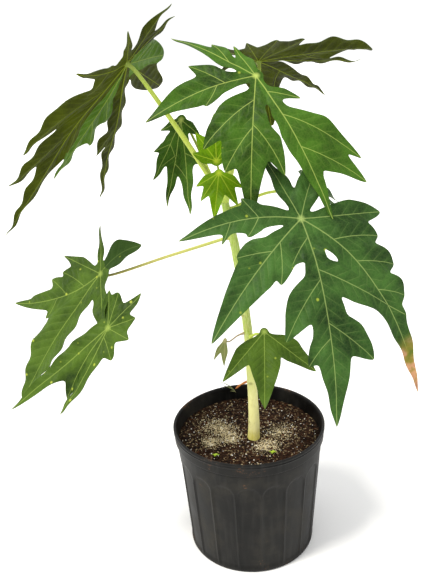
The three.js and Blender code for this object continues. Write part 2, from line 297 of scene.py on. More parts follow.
def veinPhase(ribs, chosen, along, across, gap):
    # side veins leave the rib at the lobe's sweep and bend towards the tip; left and right ones take turns
    cot = np.array([1 / math.tan(math.radians(rib["part"]["sweep"])) for rib in ribs])[chosen]
    return (along - np.abs(across) * cot - 0.005 * across ** 2) / gap


def liftOf(leaf, ribs, x, y, table, rng):
    # height of the blade over its own plane, and how far in from the margin each point lies
    deep, along, across = table
    edge = marginDepth(leaf, deep)
    waves = [rng.uniform(0, 2 * math.pi) for _ in range(5)]
    fromHub = np.hypot(x, y)
    weights = np.exp(np.clip(deep, -90, 90) / leafBuild["share"])
    weights /= weights.sum(0) + 1e-30
    lift = -leaf.get("curl", 0) * (x * x + y * y)
    for rib, share, u in zip(ribs, weights, along):
        t = np.clip(rib["base"] + u * rib["slope"], 0, 1)
        lift = lift - share * rib["part"]["droop"] * rib["part"]["length"] * t ** 3
    off = np.clip(-6 * np.log(np.exp(-np.abs(across) / 6).sum(0)), 0, None)
    lift = lift + leafBuild["fold"] * off * smooth(off / leafBuild["foldReach"])
    rim = np.clip(1 - edge / leafBuild["rim"], 0, 1) ** 2 * smooth(fromHub / 40)
    lift = lift + setting(leaf, "ripple") * rim * np.sin(x / 7 + 1.5 * np.sin(y / 19 + waves[0]) + waves[1])
    slow = np.sin(x / 36 + waves[2]) * np.sin(y / 41 + waves[3])
    lift = lift + setting(leaf, "sway") * slow * smooth(fromHub / 90)
    # the blade bulges between the side veins
    ranked = np.sort(deep, axis=0)
    lead = np.clip((ranked[-1] - ranked[-2]) / 6, 0, 1)
    chosen, each = deep.argmax(0), np.arange(len(x))
    u, v = along[chosen, each], across[chosen, each]
    gap = setting(leaf, "veinGap")
    phase = veinPhase(ribs, chosen, u, v, gap) + 0.5 * (v > 0)
    bulge = np.abs(np.sin(math.pi * phase)) ** 0.8 * np.clip(np.abs(v) / 8, 0, 1) * np.clip(edge / 7, 0, 1)
    return lift + setting(leaf, "pucker") * gap / leafBuild["veinGap"] * bulge * lead, edge


def bladeFaces(x, y, edge, shape):
    # the grid's triangles, cut along the margin
    index = np.arange(len(x)).reshape(shape)
    cells = cellFaces(index[:-1, :-1], index[1:, :-1], index[1:, 1:], index[:-1, 1:])
    inside = edge[cells] > 0
    count = inside.sum(1)
    cutCells = []
    for corners, odd in ((1, inside), (2, ~inside)):
        first = odd[count == corners].argmax(1)[:, None]
        cutCells.append(np.take_along_axis(cells[count == corners], (first + [0, 1, 2]) % 3, 1))
    lone, pair = cutCells
    cuts = np.concatenate([lone[:, [0, 1]], lone[:, [0, 2]], pair[:, [0, 1]], pair[:, [0, 2]]])
    cuts.sort(axis=1)
    ends, place = np.unique(cuts, axis=0, return_inverse=True)
    share = edge[ends[:, 0]] / (edge[ends[:, 0]] - edge[ends[:, 1]])
    x = np.append(x, x[ends[:, 0]] + share * (x[ends[:, 1]] - x[ends[:, 0]]))
    y = np.append(y, y[ends[:, 0]] + share * (y[ends[:, 1]] - y[ends[:, 0]]))
    p, q, r, t = np.split(place.reshape(-1) + len(edge), np.cumsum([len(lone), len(lone), len(pair)]))
    faces = np.concatenate([cells[count == 3], np.stack([lone[:, 0], p, q], -1),
                            np.stack([r, pair[:, 1], pair[:, 2]], -1), np.stack([r, pair[:, 2], t], -1)])
    used, faces = np.unique(faces, return_inverse=True)
    return x[used], y[used], faces.reshape(-1, 3)


def cornerVectors(leaf, ribs, x, y, edge, table, faces):
    # what the material reads at each corner: the nearest rib, and the side veins of the rib it belongs to
    deep, along, across = table
    owner = deep[:, faces].mean(2).argmax(0)[:, None]
    nearest = np.abs(across[:, faces]).mean(2).argmin(0)[:, None]
    gap = setting(leaf, "veinGap")
    sideways = across[owner, faces]
    left = sideways.mean(1, keepdims=True) > 0
    fromRib = np.where(left, sideways, -sideways).clip(0)
    phase = veinPhase(ribs, owner, along[owner, faces], fromRib, gap) + 0.5 * left
    radius = np.stack([np.interp(along[i], rib["run"], rib["radius"]) for i, rib in enumerate(ribs)])
    base, slope, tint = (np.array([rib[key] for rib in ribs])[owner] for key in ("base", "slope", "tint"))
    burnt, over = (np.array([rib["part"][key] for rib in ribs])[owner] for key in ("scorch", "over"))
    scorch = smooth((base + along[owner, faces] * slope - burnt) / 0.12)
    every = np.ones(faces.shape)
    vectors = {"place": (np.hypot(x, y)[faces], across[nearest, faces], edge[faces]),
               "vein": (phase, gap * every, radius[nearest, faces]),
               "tint": (tint * every, scorch, over * every)}
    return {key: np.stack(rows, -1).reshape(-1, 3) for key, rows in vectors.items()}


def bladeMesh(leaf, seed):
    ribs = ribsOf(leaf, random.Random(seed))
    m, s, n = leafAxes(leaf)
    step, margin = setting(leaf, "step"), 4
    low = np.min([rib["line"].min(0) - rib["girth"].max() for rib in ribs], axis=0) - margin
    high = np.max([rib["line"].max(0) + rib["girth"].max() for rib in ribs], axis=0) + margin
    x, y = np.meshgrid(np.arange(low[0], high[0], step), np.arange(low[1], high[1], step), indexing="ij")
    shape, x, y = x.shape, x.ravel(), y.ravel()
    x, y, faces = bladeFaces(x, y, marginDepth(leaf, measure(ribs, x, y)[0]), shape)
    table = measure(ribs, x, y)
    lift, edge = liftOf(leaf, ribs, x, y, table, random.Random(seed + 1))
    hub = np.array(leaf["hub"], float)
    sheet = hub + x[:, None] * m + y[:, None] * s + lift[:, None] * n
    cross = np.cross(sheet[faces[:, 1]] - sheet[faces[:, 0]], sheet[faces[:, 2]] - sheet[faces[:, 0]])
    normals = np.zeros_like(sheet)
    for k in range(3):
        np.add.at(normals, faces[:, k], cross)
    normals /= np.maximum(np.linalg.norm(normals, axis=1), 1e-9)[:, None]
    # upper and lower skin, and a wall along the margin
    half = leafBuild["thickness"] / 2
    count = len(x)
    at = np.arange(faces.size).reshape(-1, 3)
    edges, ends = (np.concatenate([rows[:, [k, (k + 1) % 3]] for k in range(3)]) for rows in (faces, at))
    numbers = edges.min(1) * count + edges.max(1)
    _, back, uses = np.unique(numbers, return_inverse=True, return_counts=True)
    rim = uses[back.reshape(-1)] == 1
    (a, b), (p, q) = edges[rim].T, ends[rim].T
    points = [sheet + normals * half, sheet - normals * half]
    triangles = [faces, faces[:, ::-1] + count, cellFaces(a, a + count, b + count, b)]
    source = np.concatenate([at.ravel(), at[:, ::-1].ravel(), cellFaces(p, p, q, q).ravel()])
    upper = np.concatenate([np.ones(faces.size), np.zeros(faces.size), np.full(len(a) * 6, 0.5)])
    data = {key: rows[source] for key, rows in cornerVectors(leaf, ribs, x, y, edge, table, faces).items()}
    data["tint"][:, 2] = np.abs(upper - data["tint"][:, 2])
    # the ribs themselves, more than half of each below the blade
    total, sides = 2 * count, leafBuild["ribSides"]
    for rib in ribs:
        row = np.unique(np.linspace(0, len(rib["line"]) - 2, leafBuild["ribRings"]).astype(int))
        x, y = rib["line"][row].T
        lift, _ = liftOf(leaf, ribs, x, y, measure(ribs, x, y), random.Random(seed + 1))
        lift = lift - leafBuild["ribSink"] * rib["radius"][row]
        centre = hub + x[:, None] * m + y[:, None] * s + lift[:, None] * n
        more, walls = tube(np.column_stack([centre, rib["radius"][row]]), sides)
        points.append(more)
        triangles.append(walls + total)
        total += len(more)
        # the same three vectors for every corner of the rib
        corners = walls.ravel()
        run = np.append(np.repeat(np.hypot(x, y), sides), [0, np.hypot(x, y)[-1]])[corners]
        high = np.append(np.repeat(centre @ n, sides), centre[[0, -1]] @ n)
        top = smooth(((more @ n - high)[corners] + 0.4) / 0.8)
        t = np.append(np.repeat(rib["base"] + rib["run"][row] * rib["slope"], sides), [0, 1])[corners]
        burn = smooth((t - rib["part"]["scorch"]) / 0.12)
        every = np.ones(len(run))
        pale = 0 if rib["base"] == 0 else 0.9     # side ribs are fainter
        for key, rows in (("place", (run, pale * every, 20 * every)),
                          ("vein", (0.5 * every, setting(leaf, "veinGap") * every, every)),
                          ("tint", (rib["tint"] * every, burn, abs(top - rib["part"]["over"])))):
            data[key] = np.concatenate([data[key], np.stack(rows, -1)])
    return np.concatenate(points), np.concatenate(triangles), data


# Papaya blade: living leaf with a thin waxy skin, so a soft broken gloss over green, pale sunken veins
# and a duller, paler back with veins that stand out.
def leafMaterial(name, look):
    material, add, spot = newMaterial(name)
    place = add("SeparateXYZ", {0: add("Attribute", attribute_name="place").outputs["Vector"]})
    vein = add("SeparateXYZ", {0: add("Attribute", attribute_name="vein").outputs["Vector"]})
    tint = add("SeparateXYZ", {0: add("Attribute", attribute_name="tint").outputs["Vector"]})
    along, across, edge = place.outputs
    phase, gap, ribRadius = vein.outputs
    lobeTint, scorch, upper = tint.outputs
    # midrib: a pale line as wide as the rib
    reach = add("Math", {0: across}, operation="ABSOLUTE")
    wide = add("Math", {0: ribRadius, 1: look["ribWidth"]}, operation="MULTIPLY")
    wider = add("Math", {0: wide, 1: 0.6}, operation="ADD")
    rib = add("MapRange", {"Value": reach, "From Min": wider, "From Max": wide})
    # side veins: distance in mm to the nearest whole number of the phase
    part = add("Math", {0: phase, 1: 0.5}, operation="PINGPONG")
    off = add("Math", {0: part, 1: gap}, operation="MULTIPLY")
    sideVein = add("MapRange", {"Value": off, "From Min": 1.0, "From Max": 0.3})
    fade = add("MapRange", {"Value": edge, "From Min": 2.0, "From Max": 16.0})
    sideVein = add("Math", {0: sideVein, 1: fade}, operation="MULTIPLY")
    glow = add("MapRange", {"Value": off, "From Min": 6.0, "From Max": 0.5})
    # net of small veins, 4.5 mm cells
    net = add("TexVoronoi", {"Vector": spot, "Scale": 1 / 0.0045}, feature="DISTANCE_TO_EDGE")
    netLine = add("MapRange", {"Value": net, "From Min": 0.16, "From Max": 0.02})
    patches = add("TexNoise", {"Vector": spot, "Scale": 1 / 0.045, "Detail": 4.0, "Roughness": 0.6})
    patchShare = add("MapRange", {"Value": patches, "From Min": 0.35, "From Max": 0.66})
    sway = add("Math", {0: lobeTint, 1: 0.55, 2: patchShare}, operation="MULTIPLY_ADD")
    sway = add("Math", {0: sway, 1: 0.75}, operation="MULTIPLY", use_clamp=True)
    colours = {}
    for face in ("top", "under"):
        body = add("MixRGB", {"Fac": sway, "Color1": look[face][0], "Color2": look[face][1]})
        for mask, share, tone in ((glow, "glow", 1), (netLine, "net", 2), (sideVein, "sideVein", 2),
                                  (rib, "midVein", 2)):
            part = add("Math", {0: mask, 1: look[share]}, operation="MULTIPLY")
            body = add("MixRGB", {"Fac": part, "Color1": body, "Color2": look[face][tone]})
        colours[face] = body
    shade = add("MixRGB", {"Fac": upper, "Color1": colours["under"], "Color2": colours["top"]})
    # pale hub where the veins meet
    hub = add("MapRange", {"Value": along, "From Min": 7.0, "From Max": 1.5, "To Max": 0.9})
    # yellow flecks up to 3 mm in radius, in cells of 15 mm
    cells = add("TexVoronoi", {"Vector": spot, "Scale": 1 / 0.015})
    chosen = add("SeparateXYZ", {0: cells.outputs["Color"]})
    few = add("Math", {0: chosen.outputs[0], 1: 1 - look["flecks"]}, operation="GREATER_THAN")
    dot = add("MapRange", {"Value": cells.outputs["Distance"], "From Min": 0.2, "From Max": 0.1})
    fleck = add("Math", {0: few, 1: dot}, operation="MULTIPLY")
    # scorched tip
    dry = add("ValToRGB", {"Fac": patches},
              stops=((0.4, "#5d6a22"), (0.5, "#85782f"), (0.58, "#b98a66"), (0.7, "#6b4328")))
    for mask, tone in ((hub, look["top"][2]), (fleck, look["fleckColour"]), (scorch, dry)):
        shade = add("MixRGB", {"Fac": mask, "Color1": shade, "Color2": tone})
    gloss = add("MapRange", {"Value": patches, "From Min": 0.3, "From Max": 0.7,
                             "To Min": look["roughness"] - 0.06, "To Max": look["roughness"] + 0.08})
    dull = add("Math", {0: upper, 1: -0.15, 2: 0.15}, operation="MULTIPLY_ADD")
    rough = add("Math", {0: gloss, 1: dull}, operation="ADD")
    height = add("Math", {0: netLine, 1: 0.35}, operation="MULTIPLY")
    height = add("Math", {0: sideVein, 1: height}, operation="ADD")
    bump = add("Bump", {"Height": height, "Strength": 0.4, "Distance": 0.0004}, invert=True)
    skin = add("BsdfPrincipled", {"Base Color": shade, "Roughness": rough, "Normal": bump, "IOR": 1.42,
                                  "Specular IOR Level": 0.14})
    add("OutputMaterial", {"Surface": skin})
    return material


def leafLook(dark, light, line, underDark, underLight, underLine, **changes):
    look = dict(top=(dark, light, line), under=(underDark, underLight, underLine), ribWidth=0.6, glow=0.2,
                net=0.04, sideVein=0.13, midVein=0.6, flecks=0.06, fleckColour="#8c9a34", roughness=0.5)
    look.update(changes)
    return look


def makeLeaf(name, leaf, material, seed):
    points, faces, data = bladeMesh(leaf, seed)
    if "fan" in leaf:
        more, moreFaces, moreData = bladeMesh(leaf["fan"], seed + 50)
        faces = np.concatenate([faces, moreFaces + len(points)])
        points = np.concatenate([points, more])
        data = {key: np.concatenate([data[key], moreData[key]]) for key in data}
    makePiece(name, points, faces, material, [nodeName(name)], cornerData=data)
    print("leaf", name, len(faces), "triangles")


darkSkin = leafMaterial("matureLeafSkin", leafLook(
    "#10260a", "#3c6026", "#94a860", "#27350a", "#3f4d12", "#737e34"))
frontLeaf = {
    "hub": (75, -200, 697), "heading": -78, "dip": 50, "curl": 0.0006,
    "lobes": [
        lobe(-163, 114, 0.115),
        lobe(-106, 164, 0.12, bend=0.33, waist=0.4, sweep=55, right=[(0.36, 0.22, 0.3)],
             left=[(0.36, 0.19, 0.35), (0.59, 0.22, 0.12)]),
        lobe(-52, 213, 0.13, bend=0.13, waist=0.25, peak=0.5, sweep=40, right=[(0.3, 0.23, 0.42)],
             left=[(0.22, 0.28, 0.3)]),
        lobe(9, 280, 0.095, bend=-0.16, waist=0.4, peak=0.65, sweep=46,
             right=[(0.1, 0.16, 0.45), (0.32, 0.35, 0.25, 0.12, 42), (0.6, 0.18, 0.3)],
             left=[(0.27, 0.49, 0.17, 0.05, 54), (0.53, 0.28, 0.3)]),
        lobe(53, 264, 0.09, bend=-0.44, waist=0.6, droop=0.1, scorch=0.8,
             left=[(0.2, 0.26, 0.4), (0.36, 0.22, 0.45), (0.53, 0.15, 0.6)]),
        lobe(88, 120, 0.17, bend=0.05, waist=0.3, peak=0.6, tip=0.6),
        lobe(158, 97, 0.19, bend=-0.08, waist=0.3, peak=0.55, tip=0.7, droop=-0.45),
    ],
}
makeLeaf("leafFront", frontLeaf, darkSkin, 1)

topLeaf = {
    "hub": (23, -100, 880), "heading": -95, "dip": 42, "curl": 0.0006,
    "lobes": [
        lobe(-150, 66, 0.16, waist=0.5, peak=0.4),
        lobe(-126, 160, 0.07, waist=0.5, peak=0.4, right=[(0.3, 0.3, 0.2, 0.1, 20)]),
        lobe(-80, 166, 0.14, bend=0.2, waist=0.4, peak=0.55, right=[(0.27, 0.38, 0.26)],
             left=[(0.34, 0.22, 0.35)]),
        lobe(-3, 190, 0.13, waist=0.22, peak=0.6, droop=0.36,
             right=[(0.22, 0.5, 0.24, 0.12, 46), (0.44, 0.34, 0.38, 0.12, 34)],
             left=[(0.42, 0.4, 0.22, 0.14, 38)]),
        lobe(29, 218, 0.08, waist=0.25, peak=0.6, sweep=38, droop=0.25,
             left=[(0.15, 0.22, 0.2, 0.12, 46), (0.35, 0.54, 0.16, 0.12, 38), (0.58, 0.44, 0.2, 0.1, 44)]),
    ],
}
greenSkin = leafMaterial("sunlitLeafSkin", leafLook(
    "#1a3204", "#3f6617", "#a8b95c", "#222b02", "#3e4a08", "#7a8632", flecks=0.03))
makeLeaf("leafTop", topLeaf, greenSkin, 2)

oliveSkin = leafMaterial("shadedUndersideSkin", leafLook(
    "#34520c", "#4c7018", "#8c9e40", "#1b1f00", "#404a00", "#7c8a20", flecks=0.02, midVein=0.7))
backLeaf = {
    "hub": (36, 52, 885), "heading": 10, "dip": 0, "roll": -26, "curl": 0.0005,
    "lobes": [
        lobe(-136, 122, 0.13), lobe(-112, 100, 0.12), lobe(-84, 92, 0.26), lobe(-58, 95, 0.28, tip=0.5),
        lobe(-23, 172, 0.16, waist=0.3, peak=0.75, tip=0.4, left=[(0.4, 0.2, 0.3)]),
        lobe(-3, 168, 0.08, waist=0.5, right=[(0.4, 0.2, 0.3)]),
        lobe(41, 196, 0.09, waist=0.6, peak=0.35, left=[(0.3, 0.32, 0.3)]),
        lobe(72, 132, 0.24, waist=0.3, tip=0.6, droop=0.5), lobe(160, 72, 0.2, droop=0.1),
    ],
}
makeLeaf("leafBack", backLeaf, oliveSkin, 3)

leftHighLeaf = {
    "hub": (-168, 0, 895), "heading": 150, "dip": 58,
    "lobes": [
        lobe(-155, 112, 0.12), lobe(-134, 110, 0.1),
        lobe(-92, 98, 0.34, waist=0.4, tip=0.5, over=1, right=[(0.3, 0.35, 0.3)]),
        lobe(-66, 148, 0.18, waist=0.2, peak=0.6, tip=0.45),
        lobe(-18, 317, 0.06, sweep=40, waist=0.8, peak=0.35, left=[(0.42, 0.18, 0.25)]),
        lobe(11, 210, 0.13, bend=0.2, sweep=40, over=1, right=[(0.3, 0.24, 0.4), (0.5, 0.24, 0.3)]),
        lobe(40, 322, 0.09, bend=-0.24, sweep=30, waist=0.7, peak=0.4,
             left=[(0.16, 0.54, 0.15, 0.1, 26), (0.42, 0.4, 0.16, 0.1, 26)], right=[(0.35, 0.2, 0.3)]),
        lobe(72, 121, 0.08, bend=0.34, right=[(0.35, 0.4, 0.3)]), lobe(152, 66, 0.13),
    ],
}
makeLeaf("leafLeftHigh", leftHighLeaf, oliveSkin, 4)

midSkin = leafMaterial("fleckedLeafSkin", leafLook(
    "#1d3407", "#47611b", "#8ca04a", "#1b3006", "#2c4416", "#5c7038", flecks=0.25, fleckColour="#9aa63c"))
leftLowLeaf = {
    "hub": (-235, -50, 573), "heading": -135, "dip": 58,
    "lobes": [
        lobe(-153, 86, 0.08), lobe(-94, 109, 0.12, waist=0.3),
        lobe(-42, 205, 0.1, bend=-0.37, waist=0.6, right=[(0.2, 0.3, 0.35), (0.4, 0.25, 0.35)],
             left=[(0.5, 0.2, 0.3)]),
        lobe(-28, 258, 0.15, bend=0.18, waist=0.5, peak=0.6),
        lobe(30, 112, 0.15, waist=0.8), lobe(160, 84, 0.25, bend=-0.5, waist=0.15, peak=0.6, over=1),
    ],
    # the middle of this leaf folds over and hangs as a second fan of lobes
    "fan": {
        "hub": (-221, -121, 508), "heading": -120, "dip": 55,
        "lobes": [
            lobe(-165, 62, 0.2), lobe(-41, 218, 0.09, waist=0.9, peak=0.35),
            lobe(-26, 140, 0.1, waist=0.3, peak=0.75, droop=0.25),
            lobe(-10, 156, 0.1, bend=-0.12, waist=1, peak=0.4, left=[(0.1, 0.26, 0.4)]),
            lobe(76, 45, 0.3), lobe(118, 52, 0.3), lobe(146, 78, 0.15), lobe(178, 56, 0.3, tip=0.5),
        ],
    },
}
makeLeaf("leafLeftLow", leftLowLeaf, midSkin, 5)

lowLeaf = {
    "hub": (29, -60, 460), "heading": -80, "dip": 45, "curl": 0.0004,
    "veinGap": 13, "step": 1.3, "web": 2.0, "pucker": 1.5,
    "lobes": [lobe(-48, 112, 0.15, waist=0.2), lobe(-10, 131, 0.2, waist=0.25, peak=0.42),
              lobe(44, 108, 0.19, waist=0.12, peak=0.5)],
}
makeLeaf("leafLow", lowLeaf, midSkin, 6)

limeSkin = leafMaterial("youngLeafSkin", leafLook(
    "#3c5e00", "#689202", "#a4b830", "#4c6800", "#648004", "#a4b830", flecks=0.0, roughness=0.42))
youngBlade = {"curl": 0.001, "veinGap": 8, "step": 0.8, "web": 1.5, "rib": 1.8, "ripple": 1.2, "sway": 1.2}
youngLeaf = {
    **youngBlade, "hub": (-35, -50, 731), "heading": -90, "dip": 50,
    "lobes": [lobe(-60, 42, 0.2), lobe(-34, 54, 0.17), lobe(-8, 76, 0.15), lobe(26, 62, 0.16),
              lobe(54, 44, 0.2)],
}
makeLeaf("leafYoung", youngLeaf, limeSkin, 7)
newLeaf = {
    **youngBlade, "hub": (-38, -14, 742), "heading": 90, "dip": -72,
    "lobes": [lobe(-70, 40, 0.25), lobe(-34, 56, 0.22), lobe(0, 76, 0.2), lobe(34, 56, 0.22),
              lobe(70, 40, 0.25)],
}
makeLeaf("leafNew", newLeaf, limeSkin, 8)

innerLeaf = {
    "hub": (-94, 78, 794), "heading": -120, "dip": 62, "web": 2.0,
    "lobes": [
        lobe(-60, 42, 0.2), lobe(-16, 112, 0.13, left=[(0.4, 0.3, 0.25)], right=[(0.4, 0.3, 0.25)]),
        lobe(3, 150, 0.09, left=[(0.5, 0.25, 0.25)], right=[(0.4, 0.2, 0.3)]),
        lobe(19, 168, 0.09, left=[(0.35, 0.25, 0.25)]), lobe(60, 46, 0.2),
    ],
}
makeLeaf("leafInner", innerLeaf, greenSkin, 9)

rearLeaf = {
    "hub": (112, 40, 688), "heading": -10, "dip": 32, "curl": 0.0008,
    "lobes": [lobe(-30, 70, 0.2), lobe(12, 74, 0.22), lobe(56, 70, 0.22), lobe(105, 56, 0.22)],
}
makeLeaf("leafRear", rearLeaf, darkSkin, 10)

dullSkin = leafMaterial("witheredLeafSkin", leafLook(
    "#4f5b2b", "#6a7142", "#8d8a60", "#595b38", "#747052", "#8d8a60", flecks=0.0, roughness=0.65))
witheredLeaf = {
    "hub": (-37, -30, 433), "heading": -130, "dip": 55,
    "veinGap": 9, "step": 0.9, "web": 1.5, "ripple": 1.2, "sway": 1.0,
    "lobes": [lobe(-14, 40, 0.14), lobe(20, 46, 0.14)],
}
makeLeaf("leafWithered", witheredLeaf, dullSkin, 11)

# two weed seedlings in front of the stem, and a dry scrap and some grass caught on the rim behind it
scrapSkin = leafMaterial("dryLeafScrap", leafLook(
    "#8e4f22", "#b87238", "#c79258", "#8e4f22", "#b87238", "#c79258", flecks=0.0, roughness=0.8))
smallLeaf = {
    "curl": 0.01, "veinGap": 5, "step": 0.5, "web": 0.6, "rib": 1.2,
    "ripple": 0.4, "sway": 0.3, "pucker": 0.2,
}
litter = {
    "weedLeft": (limeSkin, "leaf_lime", {"hub": (-63, -77, 233), "heading": -90, "dip": -15, "lobes": [
        lobe(-100, 7, 0.28), lobe(-10, 9, 0.25), lobe(70, 8, 0.28), lobe(160, 7, 0.28)]}),
    "weedRight": (limeSkin, "leaf_lime", {"hub": (38, -76, 233), "heading": -60, "dip": -10, "lobes": [
        lobe(-130, 6, 0.28), lobe(-40, 8, 0.25), lobe(35, 8, 0.25), lobe(120, 6, 0.3)]}),
    "scrap": (scrapSkin, "leaf_withered", {"hub": (-8, 127, 257), "heading": -20, "dip": -30, "lobes": [
        lobe(-150, 15, 0.42), lobe(20, 19, 0.4)]}),
    "grass": (dullSkin, "leaf_withered", {"hub": (-20, 120, 243), "heading": 190, "dip": -60, "lobes": [
        lobe(-34, 28, 0.05), lobe(-8, 42, 0.04), lobe(14, 38, 0.04), lobe(40, 24, 0.05)]}),
}
for seed, (name, (skin, slot, leaf)) in enumerate(litter.items()):
    points, faces, data = bladeMesh({**smallLeaf, **leaf}, 80 + seed)
    makePiece(name, points, faces, skin, cornerData=data)
print("leaves done")


# Green stem: soft bark-free skin with a bloom, pale and corky at the foot, greener towards the tip
def stemMaterial(name, look):
    material, add, spot = newMaterial(name)
    share = add("SeparateXYZ", {0: add("Attribute", attribute_name="share").outputs["Vector"]})
    blend = add("ValToRGB", {"Fac": share}, stops=look["stops"])
    # fibres run along the skin, about 1.6 mm apart
    stretched = add("Mapping", {"Vector": spot, "Scale": (1, 1, 0.12)})
    fibre = add("TexNoise", {"Vector": stretched, "Scale": 1 / 0.0016, "Detail": 3.0})
    mottle = add("TexNoise", {"Vector": spot, "Scale": 1 / 0.012, "Detail": 5.0, "Roughness": 0.65})
    cork = add("MapRange", {"Value": mottle, "From Min": 0.52, "From Max": 0.68, "To Max": look["mottle"]})
    colour = add("MixRGB", {"Fac": cork, "Color1": blend, "Color2": look["mottleColour"]})
    lines = add("MapRange", {"Value": fibre, "From Min": 0.35, "From Max": 0.65, "To Max": 0.28})
    colour = add("MixRGB", {"Fac": lines, "Color1": colour, "Color2": look["fibre"]})
    scars = add("Math", {0: share.outputs[1], 1: 0.75}, operation="MULTIPLY", use_clamp=True)
    colour = add("MixRGB", {"Fac": scars, "Color1": colour, "Color2": look["scar"]})
    both = add("Math", {0: fibre, 1: mottle}, operation="ADD")
    bump = add("Bump", {"Height": both, "Strength": 0.35, "Distance": 0.0005})
    rough = add("MapRange", {"Value": mottle, "From Min": 0.3, "From Max": 0.7,
                             "To Min": 0.42, "To Max": 0.6})
    skin = add("BsdfPrincipled", {"Base Color": colour, "Roughness": rough, "Normal": bump, "IOR": 1.42})
    add("OutputMaterial", {"Surface": skin})
    return material


stem = {
    # centre line and radius from below the soil to the growing tip
    "line": [(8, -20, 221, 13.2), (8, -20, 228.3, 11.6), (9, -19, 250, 10.4), (9, -16, 295, 9.2),
             (8, -14, 326, 8.7), (3, -9, 446, 7.8), (-12, -4, 586, 7.6), (-24, -1, 650, 7),
             (-32, 0, 712, 4.6)],
    "rings": 300, "sides": 44,
    "scarStep": 26, "scarFirst": 262, "scarLast": 640, "scarTurn": 137.5,
}
stemLine, stemRun = smoothLine(stem["line"], stem["rings"])
scarAt = []     # height and turn of each leaf scar
for k in range(int((stem["scarLast"] - stem["scarFirst"]) / stem["scarStep"])):
    scarAt.append((stem["scarFirst"] + k * stem["scarStep"], math.radians(k * stem["scarTurn"] + 40)))
stemScar = []   # how dark each ring of the stem is


def stemRelief(i, angles):
    # leaf scars: a shallow heart with a raised lower lip, and a faint ring at each node
    height = stemLine[i, 2]
    relief = 0.12 * np.sin(angles * 7 + height * 0.05) + 0.1 * np.sin(angles * 3 + height * 0.11)
    dark = np.zeros_like(angles)
    for z, turn in scarAt:
        away = np.abs((angles - turn + math.pi) % (2 * math.pi) - math.pi) * stemLine[i, 3]
        d = np.hypot(away / 4.6, (height - z) / 3.4)
        relief = relief - 0.5 * np.exp(-(d / 0.7) ** 4) + 0.55 * np.exp(-((d - 1.1) / 0.3) ** 2)
        relief = relief + 0.22 * math.exp(-((height - z) / 2.2) ** 2)
        dark = np.maximum(dark, np.exp(-(d / 0.85) ** 4))
    stemScar.append(dark)
    return relief


# Petiole skin: smooth and waxy, yellow green, a little redder at the blade; the darker end at the blade is
# painted shade where the blade covers it
petioleLook = {
    "stops": ((0.0, "#a9c043"), (0.35, "#b6c64a"), (0.8, "#a3b83a"), (1.0, "#7d9436")),
    "mottle": 0.25, "mottleColour": "#86963a", "fibre": "#c6d077", "scar": "#8f8a55",
}
stemLook = {
    "stops": ((0.0, "#c4b93c"), (0.035, "#d9cf6a"), (0.06, "#e6df96"), (0.2, "#dad88a"), (0.3, "#b8c45e"),
              (0.5, "#93a93a"), (0.85, "#88a828"), (1.0, "#7ea01e")),
    "mottle": 0.4, "mottleColour": "#b7b06a", "fibre": "#f0ecb8", "scar": "#8d8a4e",
}
points, faces = tube(stemLine, stem["sides"], stemRelief)
shares = np.append(np.repeat(stemRun / stemRun[-1], stem["sides"]), [0, 1])
shareData = np.stack([shares, np.append(np.concatenate(stemScar), [0, 0]), 0 * shares], -1)
makePiece("stem", points, faces, stemMaterial("greenStemSkin", stemLook), ["stem"],
          pointData={"share": shareData}, crease=70)

petioles = {
    # height of the foot on the stem, how far the middle rises, radius at the stem and at the blade
    "Front": (frontLeaf, 640, 10, 4.6, 3), "Top": (topLeaf, 672, 10, 4.4, 3),
    "Back": (backLeaf, 692, 8, 4.2, 3), "LeftHigh": (leftHighLeaf, 674, 6, 5.2, 3.2),
    "LeftLow": (leftLowLeaf, 612, 0, 2.9, 2.2), "Low": (lowLeaf, 425, 4, 2.6, 2),
    "Young": (youngLeaf, 700, 0, 2.4, 1.8), "New": (newLeaf, 706, 0, 2.2, 1.6),
    "Inner": (innerLeaf, 646, 8, 3, 2), "Rear": (rearLeaf, 655, 10, 3, 2),
    "Withered": (witheredLeaf, 437, 3, 1.8, 1.3),
}
petioleBuild = {
    "neck": 12,             # mm before the hub where the petiole has turned square to the blade
    "rings": 110, "sides": 22,
    "ribs": 6, "ribDepth": 0.035,
}
petioleSkin = stemMaterial("petioleSkin", petioleLook)
dryLook = dict(petioleLook, stops=((0.0, "#a99a72"), (0.5, "#8f7d66"), (1.0, "#7f7658")),
               mottleColour="#6b5a48", fibre="#b3a386")
# pale petiole of the low left leaf; its dark last stops at the blade are painted shade under the leaf
paleLook = dict(petioleLook,
                stops=((0.0, "#b9c060"), (0.5, "#c3bd68"), (0.85, "#9a9148"), (1.0, "#5a5526")))
skins = {"Withered": stemMaterial("witheredPetioleSkin", dryLook),
         "LeftLow": stemMaterial("palePetioleSkin", paleLook)}


def stemPoint(z):
    return np.array([np.interp(z, stemLine[:, 2], stemLine[:, k]) for k in range(4)])


for name, (leaf, height, arch, thick, thin) in petioles.items():
    n = leafAxes(leaf)[2]
    foot = stemPoint(height)
    hub = np.array(leaf["hub"], float)
    neck = hub - petioleBuild["neck"] * n
    middle = (foot[:3] + neck) / 2 + [0, 0, arch]
    route = [(*foot[:3], thick), (*middle, (thick + thin) / 2), (*neck, thin), (*(hub - 0.25 * n), thin)]
    line, run = smoothLine(route, petioleBuild["rings"])
    # flares where it leaves the stem and where the veins part
    leave, left = np.maximum(run - foot[3], 0), run[-1] - run
    line[:, 3] *= 1 + 0.55 * np.exp(-(leave / 5) ** 2) + 0.4 * np.exp(-(left / 3.5) ** 2)
    points, faces = tube(line, petioleBuild["sides"], lambda i, a: (
        petioleBuild["ribDepth"] * line[i, 3] * np.cos(petioleBuild["ribs"] * a)))
    shares = np.append(np.repeat(run / run[-1], petioleBuild["sides"]), [0, 1])
    data = np.stack([shares, 0 * shares, 0 * shares], -1)
    makePiece("petiole" + name, points, faces, skins.get(name, petioleSkin),
              [nodeName("petiole" + name)], pointData={"share": data}, crease=70)
print("stem and petioles done")


